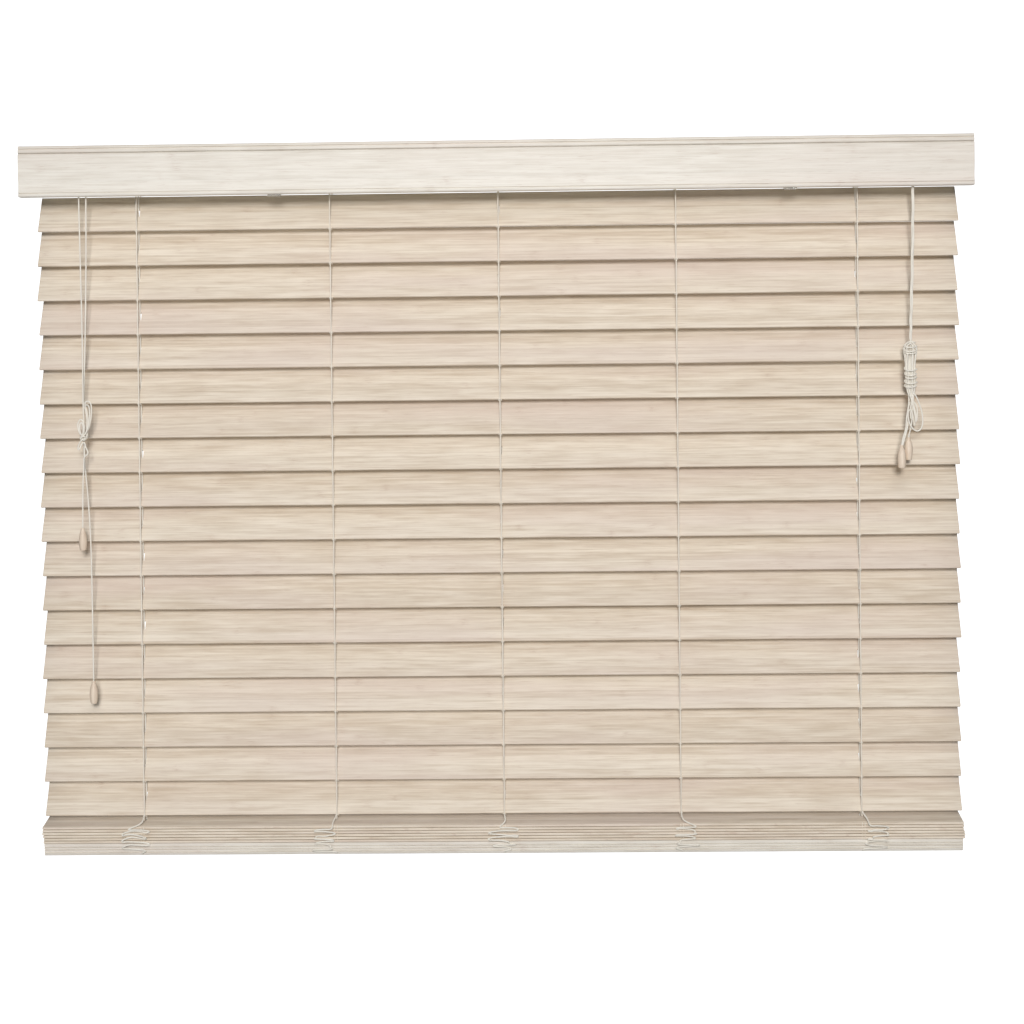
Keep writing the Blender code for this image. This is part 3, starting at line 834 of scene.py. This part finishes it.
TILT_ROUTE_B = (
    (-516.0, -63.0, -36.4), (-516.1, -62.7, -70.0), (-517.4, -61.2, -150.0), (-520.2, -59.6, -240.0),
    (-523.2, -58.6, -320.0), (-523.6, -58.5, -390.0), (-519.2, -58.7, -450.0), (-516.6, -59.0, -510.0),
    (-515.6, -60.0, -590.0), (-515.0, -61.2, -679.0),
)  # fmt: skip


def bow_route():
    """The tilt cord down to its knot, twice round each loop of the bow, and on to its tassel."""
    centre = Vector(KNOT_AT)
    bow = [*TALL_LOOP, *SHORT_LOOP, *KNOT[:4]]
    bow += [(x * 0.74 + 0.8, y - 1.8, z * 0.9) for x, y, z in TALL_LOOP]
    bow += [(x * 0.62, y - 1.8, z * 0.84) for x, y, z in SHORT_LOOP]
    bow += [*KNOT, *LOW_BIGHT]
    return metres([*TILT_ROUTE_A, *(centre + Vector(point) for point in bow), *TILT_ROUTE_A_END])


def metres(points):
    return [Vector(point) * MM for point in points]


def length_of(route):
    return sum((b - a).length for a, b in zip(route, route[1:]))


def tassel(node, top_radius, waist, fullest):
    """A turned tassel with a bored top and a hollow foot, and the cord's knot inside it."""
    low, high = (Vector(corner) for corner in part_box(node))
    tall = 28.5 * MM
    centre = Vector(((low.x + high.x) / 2, (low.y + high.y) / 2, low.z + tall))
    radius = (high.x - low.x) / 2
    profile = [
        (1.1 * MM, -6 * MM), (1.1 * MM, -0.6 * MM), (1.5 * MM, -0.1 * MM), (top_radius - 0.5 * MM, 0),
        (top_radius, -0.6 * MM), (top_radius + 0.1 * MM, -1.8 * MM), (top_radius - 0.25 * MM, -2.4 * MM),
        (top_radius - 0.15 * MM, -2.9 * MM), (radius * 0.62, -tall * 0.17), (radius * 0.8, -tall * 0.28),
        (radius * 0.93, -tall * 0.41), (radius, -tall * fullest), (radius * 0.97, -tall * (fullest + 0.14)),
        (radius * waist + 0.35 * MM, -tall * 0.93), (radius * waist, -tall + 0.5 * MM),
        (radius * waist - 0.5 * MM, -tall), (2.5 * MM, -tall), (2.1 * MM, -tall + 0.5 * MM),
        (2.0 * MM, -tall + 9 * MM), (1.1 * MM, -tall + 10 * MM), (1.1 * MM, -6 * MM),
    ]  # fmt: skip
    made = spun(profile, centre)
    knot_at = centre + Vector((0, 0, -tall + 8 * MM))
    return made, knot_ball(1.8 * MM, knot_at, 14, 8)


def hung_tassel(node, body, top_radius=2.6 * MM, waist=0.76, fullest=0.56):
    made, knot = tassel(node, top_radius, waist, fullest)
    only(made)
    named(f"{node}_wood", TASSEL_WOOD, body)
    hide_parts(node)
    only(knot)
    named(f"{node}_knot", BRAID, body)
    return [made, knot]


def tilt_cords():
    for letter, points, end in (("a", bow_route(), -300 * MM), ("b", metres(TILT_ROUTE_B), -660 * MM)):
        body = f"tilt_pull_{letter}"
        route = eased(flowing(points, 7))
        pieces = hung_tassel(f"tilt_tassel_{letter}", body)
        made = tube(f"tilt_cord_{letter}_braid", route, CORD, BRAID)
        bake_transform(made)
        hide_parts(f"tilt_cord_{letter}")
        length_of(route)  # fmt: skip
    tilter_x, coil = -520.5 * MM, 4.2 * MM
    line = []
    for step in range(49):
        angle = math.tau * step / 16
        across, up = coil * math.cos(angle), coil * math.sin(angle)
        line.append((tilter_x + across, (-64.6 + step / 15) * MM, CORD_EXIT_Z + up))
    tube("tilt_cord_turns", line, CORD * 0.9, BRAID, "tilter_worm")


# ---------------------------------------------------------------- lift pull and hank

LIFT_ROUTE = (
    (524.0, -63.0, -36.4), (524.0, -63.0, -70.0), (523.4, -63.0, -120.0), (522.0, -63.0, -180.0),
    (520.4, -63.0, -230.0), (519.8, -63.0, -256.0),
)  # fmt: skip


def lane(x, y, top, bottom, flare=0.0):
    """One run of cord down the hank, drawn in by the wraps and crossing its neighbours below them."""
    return (
        (x * 1.2, y * 1.1, top), (x * 0.98, y * 1.05, top - 12), (x * 0.82, y, -290), (x * 0.8, y, -314),
        (x * 0.4 + 0.8, y * 1.3, -327), (1.6 - x * 0.75 + flare, y * 1.15, bottom),
    )  # fmt: skip


def folded(lanes):
    """Joins runs of cord end to end, down one and up the next, with a round turn between each two."""
    line = []
    for number, run in enumerate(lanes):
        steps = lane(*run) if number % 2 == 0 else lane(*run)[::-1]
        if line:
            last, first = line[-1], steps[0]
            turn = min(last[2], first[2]) - 3.4 if number % 2 else max(last[2], first[2]) + 3.4
            line.append(((last[0] + first[0]) / 2, (last[1] + first[1]) / 2, turn))
        line += steps
    return line


LONG_LANES = {
    1: (
        (5.8, -1.2, -266, -352, 3.0), (1.9, -3.2, -264, -343, -1.5), (-4.4, -3.0, -265, -356, 0.5),
        (-1.4, 0.9, -268, -346, 2.0), (6.8, 1.2, -266, -358, 0.8),
    ),
    2: (
        (0.2, -1.0, -267, -354, 5.5), (-6.2, -0.4, -264, -340, 1.0), (3.9, 1.2, -262, -360, 6.5),
        (-3.6, 3.0, -268, -345, -1.0), (-6.9, 2.2, -266, -357, -7.5),
    ),
}  # fmt: skip


def wrapped(turns, start, drop, wide, deep, slope, begin=0.0):
    """Turns of cord round the bundle, no two quite level."""
    line = []
    for step in range(turns * 12 + 1):
        angle = math.tau * step / 12 + begin
        level = start - drop * step / 12 + slope * math.sin(angle + 0.5) + 0.7 * math.sin(angle * 0.43)
        reach = wide + 0.5 * math.sin(angle * 0.31)
        line.append((reach * math.cos(angle), deep * math.sin(angle), level))
    return line


LOW_LOOP = (
    (-2.0, 4.6, -320), (3.4, -5.0, -324), (8.0, -5.4, -333), (12.4, -4.6, -346), (13.8, -4.2, -359),
    (11.4, -4.2, -368.2), (6.4, -4.4, -370.8), (0.6, -4.6, -367.0), (-3.6, -4.6, -358.4),
    (-4.6, -4.4, -348.0),
    (-2.2, -5.4, -342.6), (0.4, -6.0, -349.0), (-0.2, -4.2, -361.0), (-1.4, -1.0, -370.0),
    (-2.5, 1.6, -376.0),
    (-2.7, 2.0, -381.0),
)  # fmt: skip


def hank_route(strand):
    """A strand's path in the hank, from its middle line; the last points lead to its tassel."""
    if strand == 3:
        line = wrapped(3, -262.0, 3.9, 7.9, 5.5, 2.4, 0.4)
        line += [(4.4, 5.6, -277.0), (1.6, 5.7, -284.0)]
        line += wrapped(5, -290.5, 5.1, 7.6, 5.6, 2.6, 1.3)
        return line + list(LOW_LOOP)
    side = 0.95 if strand == 1 else -0.95
    if strand == 1:
        turned_out = [(-2.0, 4.0, -340), (-4.6 + side, 0.0, -356)]
    else:
        turned_out = [(-3.8, -3.2, -340), (-5.0 + side, -3.4, -352)]
    tail = [(-6.0 + side, -2.6, -366), (-7.8 + side, -3.2, -373), (-10.4 + side, -3.8, -381)]
    tail.append((-12.5 + side * 0.4, -3.8, -391.0))
    return [*folded(LONG_LANES[strand])[:-1], *turned_out, *tail]


def lift_pull():
    """Three strands twisted together to the hank, each through it and out to a tassel."""
    middle_line = flowing(metres(LIFT_ROUTE), 10)
    gather = 1.12 * MM
    tassels = {
        "a": hung_tassel("lift_tassel_a", "lift_pull", 2.1 * MM, 0.82, 0.66),
        "b": hung_tassel("lift_tassel_b", "lift_pull", 2.4 * MM, 0.66, 0.5),
    }
    for strand in (1, 2, 3):
        drop_down = []
        for step, point in enumerate(middle_line):
            angle = math.tau * (strand / 3 + step * 0.045)
            drop_down.append(point + Vector((gather * math.cos(angle), gather * math.sin(angle), 0)))
        hank = [Vector((519.5 + x, -63.0 + y, z)) * MM for x, y, z in hank_route(strand)]
        entered = Vector((519.8 + 0.6 * math.cos(strand), -63.0 + 0.6 * math.sin(strand), -257.6)) * MM
        route = eased(flowing([*drop_down[::5], entered, *hank], 6))
        made = tube(f"lift_strand_{strand}", route, CORD, BRAID)
        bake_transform(made)
        length_of(route)  # fmt: skip
        if strand == 1:
            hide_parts("lift_pull_cord")
        if strand == 3:
            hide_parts("lift_pull_hank")


# ---------------------------------------------------------------- headrail fittings


def finish_kept_parts():
    """The frame's own parts keep their shape and take their finishes."""
    finishes = dict.fromkeys(("headrail", "bracket_left", "bracket_right"), CREAM_STEEL) | {"tilt_rod": ZINC}
    for node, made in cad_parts.items():
        if made.hide_render:
            continue
        made.data.materials.clear()
        made.data.materials.append(finishes.get(node, NYLON))
        only(made)
        bpy.ops.object.shade_smooth_by_angle(angle=math.radians(30))


def end_caps():
    for side in (-1, 1):
        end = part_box("headrail")[1].x
        low = Vector((end, -57.2 * MM, -50.4 * MM))
        high = Vector((end + 1.4 * MM, -2.4 * MM, -2.0 * MM))
        if side < 0:
            low.x, high.x = -high.x, -low.x
        made = cube(low, high)
        soften(made, 0.5 * MM, 2)
        inner, outer = side * (end + 0.4 * MM), side * (end + 2.2 * MM)
        boss = cylinder(6 * MM, (inner, ROD_Y, ROD_Z), (outer, ROD_Y, ROD_Z))
        soften(boss, 0.3 * MM, 2)
        weld(made, boss)
        smooth(made)
        named(f"headrail_end_cap_{'left' if side < 0 else 'right'}", NYLON, "root")


def bracket_doors():
    """The hinged door over each bracket's open front, and two screws through its back."""
    for name in ("left", "right"):
        low, high = (Vector(corner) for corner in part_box(f"bracket_{name}"))
        foot = (low.x, low.y - 1.3 * MM, low.z + 0.6 * MM)
        made = cube(foot, (high.x, low.y - 0.1 * MM, high.z - 0.6 * MM))
        choose(made, "FACE", lambda at, way: way.y < -0.9)
        bpy.ops.mesh.inset(thickness=3.5 * MM)
        bpy.ops.transform.translate(value=(0, 0.4 * MM, 0))
        done()
        soften(made, 0.4 * MM, 2)
        hinge_y, hinge_z = low.y - 1.1 * MM, high.z - 1.4 * MM
        ends = [(x, hinge_y, hinge_z) for x in (low.x + 2 * MM, high.x - 2 * MM)]
        weld(made, cylinder(1.3 * MM, *ends, 16))
        smooth(made)
        named(f"bracket_door_{name}", CREAM_STEEL, "root")
        centre = (low.x + high.x) / 2
        heads = []
        for level in (-12, -40):
            at = (centre, high.y - 1.2 * MM, level * MM)
            outline = [(0, -0.9), (1.2, -0.9), (1.3, -1.7), (3.2, -1.2), (3.6, -0.3), (3.6, 0), (0, 0)]
            heads.append(spun([(radius * MM, height * MM) for radius, height in outline], at, "Y", 24))
        join(heads)
        named(f"bracket_screws_{name}", ZINC, "root")


def valance_clips():
    """Two clear clips that hook over the channel's front and hold the valance by its edges."""
    for number, x in enumerate((-276 * MM, 370 * MM), 1):
        outline = (
            (-53.0, -0.9), (-53.0, -3.0), (-56.9, -3.0), (-56.9, -0.6), (-58.6, -0.6), (-66.6, -1.4),
            (-66.6, -64.9), (-66.8, -66.3), (-73.6, -66.3), (-74.4, -65.6), (-74.4, -66.8), (-73.8, -67.4),
            (-66.4, -67.4), (-65.8, -66.8), (-65.6, -2.4), (-59.2, -1.6), (-59.2, -14.0), (-58.2, -14.0),
            (-58.2, 0.2), (-53.0, 0.2),
        )  # fmt: skip
        mesh = bpy.data.meshes.new("clip")
        count = len(outline)
        points = [(x + side * 8 * MM, y * MM, z * MM) for side in (-1, 1) for y, z in outline]
        faces = [tuple(range(count)), tuple(range(2 * count - 1, count - 1, -1))]
        faces += [(i, i + count, (i + 1) % count + count, (i + 1) % count) for i in range(count)]
        mesh.from_pydata(points, [], faces)
        made = bpy.data.objects.new("clip", mesh)
        bpy.context.scene.collection.objects.link(made)
        only(made)
        bpy.ops.object.mode_set(mode="EDIT")
        bpy.ops.mesh.select_all(action="SELECT")
        bpy.ops.mesh.normals_make_consistent(inside=False)
        done()
        named(f"valance_clip_{number}", CLEAR, "root")


def cradles():
    """A moulded cradle on the channel's floor carries the rod on each side of each drum."""
    for ladder in LADDERS:
        x = middle(f"ladder_drum_{ladder}").x
        walls = []
        for side in (-1, 1):
            near, far = sorted((x + side * 7.4 * MM, x + side * 9.4 * MM))
            made = cube((near, -47 * MM, CHANNEL_FLOOR), (far, -13 * MM, -17.5 * MM))
            choose(made, "EDGE", lambda at, way: abs(way.x) > 0.9 and at.z > -20 * MM)
            bpy.ops.mesh.bevel(offset=9 * MM, segments=6, affect="EDGES")
            done()
            carve(made, cylinder(3.45 * MM, (near - MM, ROD_Y, ROD_Z), (far + MM, ROD_Y, ROD_Z)))
            carve(made, cube((near - MM, -33.5 * MM, -52 * MM), (far + MM, -26.5 * MM, -37.5 * MM)))
            walls.append(made)
        for y in (-46 * MM, -14.0 * MM):
            corner = (x - 7.5 * MM, y - 0.9 * MM, CHANNEL_FLOOR)
            walls.append(cube(corner, (x + 7.5 * MM, y + 0.9 * MM, -47.2 * MM)))
        made = join(walls)
        smooth(made)
        named(f"rod_cradle_{ladder}", NYLON, "root")


def cord_lock_works():
    """The knurled locking roller and its pin, in the mouth of the cord lock."""
    at = Vector((524, -61.4, -33.2)) * MM
    low, high = at - Vector((6.6, 0, 0)) * MM, at + Vector((6.6, 0, 0)) * MM
    pin = cylinder(1.1 * MM, low - Vector((1.2, 0, 0)) * MM, high + Vector((1.2, 0, 0)) * MM, 20)
    roller = cylinder(2.6 * MM, low, high, 28)
    choose(roller, "FACE", lambda at, way: abs(way.x) < 0.2)
    bpy.ops.mesh.inset(thickness=0.12 * MM, use_individual=True)
    bpy.ops.transform.shrink_fatten(value=-0.16 * MM)
    done()
    join([roller, pin])
    named("cord_lock_roller", ZINC, "root")


def rail_fittings():
    """Under the bottom rail at each ladder, a button that covers the cord's knot."""
    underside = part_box("bottom_rail")[0][2]
    outline = [(0, 0), (4.2, 0), (5.6, 0.25), (6.0, 0.7), (6.0, 1.2), (0, 1.2)]
    for ladder in LADDERS:
        at = (place_of(ladder)[0], ROD_Y, underside - 0.7 * MM)
        spun([(radius * MM, height * MM) for radius, height in outline], at, "Z", 32)
        named(f"rail_button_{ladder}", NYLON, "bottom_rail")


# ---------------------------------------------------------------- surroundings


def surroundings():
    """A plain white wall that glows evenly behind, and a plain pale floor well below."""
    for name, size, at, turn, glow in (
        ("backdrop", 4.4, (0, 3.5, -0.5), (math.pi / 2, 0, 0), 1.0),
        ("floor", 9, (0, -1.5, -2.9), (0, 0, 0), 0.0),
    ):
        plain = Finish(f"plain_{name}", Roughness=0.9, Emission_Strength=glow)
        plain.shader.inputs["Base Color"].default_value = (0.85, 0.85, 0.85, 1)
        plain.shader.inputs["Emission Color"].default_value = (1, 1, 1, 1)
        bpy.ops.object.select_all(action="DESELECT")
        bpy.ops.mesh.primitive_plane_add(size=size, location=at, rotation=turn)
        made = bpy.context.object
        made.name = name
        made.data.materials.append(plain.material)


# ---------------------------------------------------------------- all of it, cords first

camera_and_light()
tilt_cords()
lift_pull()
lift_cords()
slats()
valance()
bottom_rail()
rungs()
uprights()
slack_loops()
turns_on_drums()
end_caps()
bracket_doors()
valance_clips()
cradles()
cord_lock_works()
rail_fittings()
finish_kept_parts()
surroundings()

bpy.context.view_layer.update()
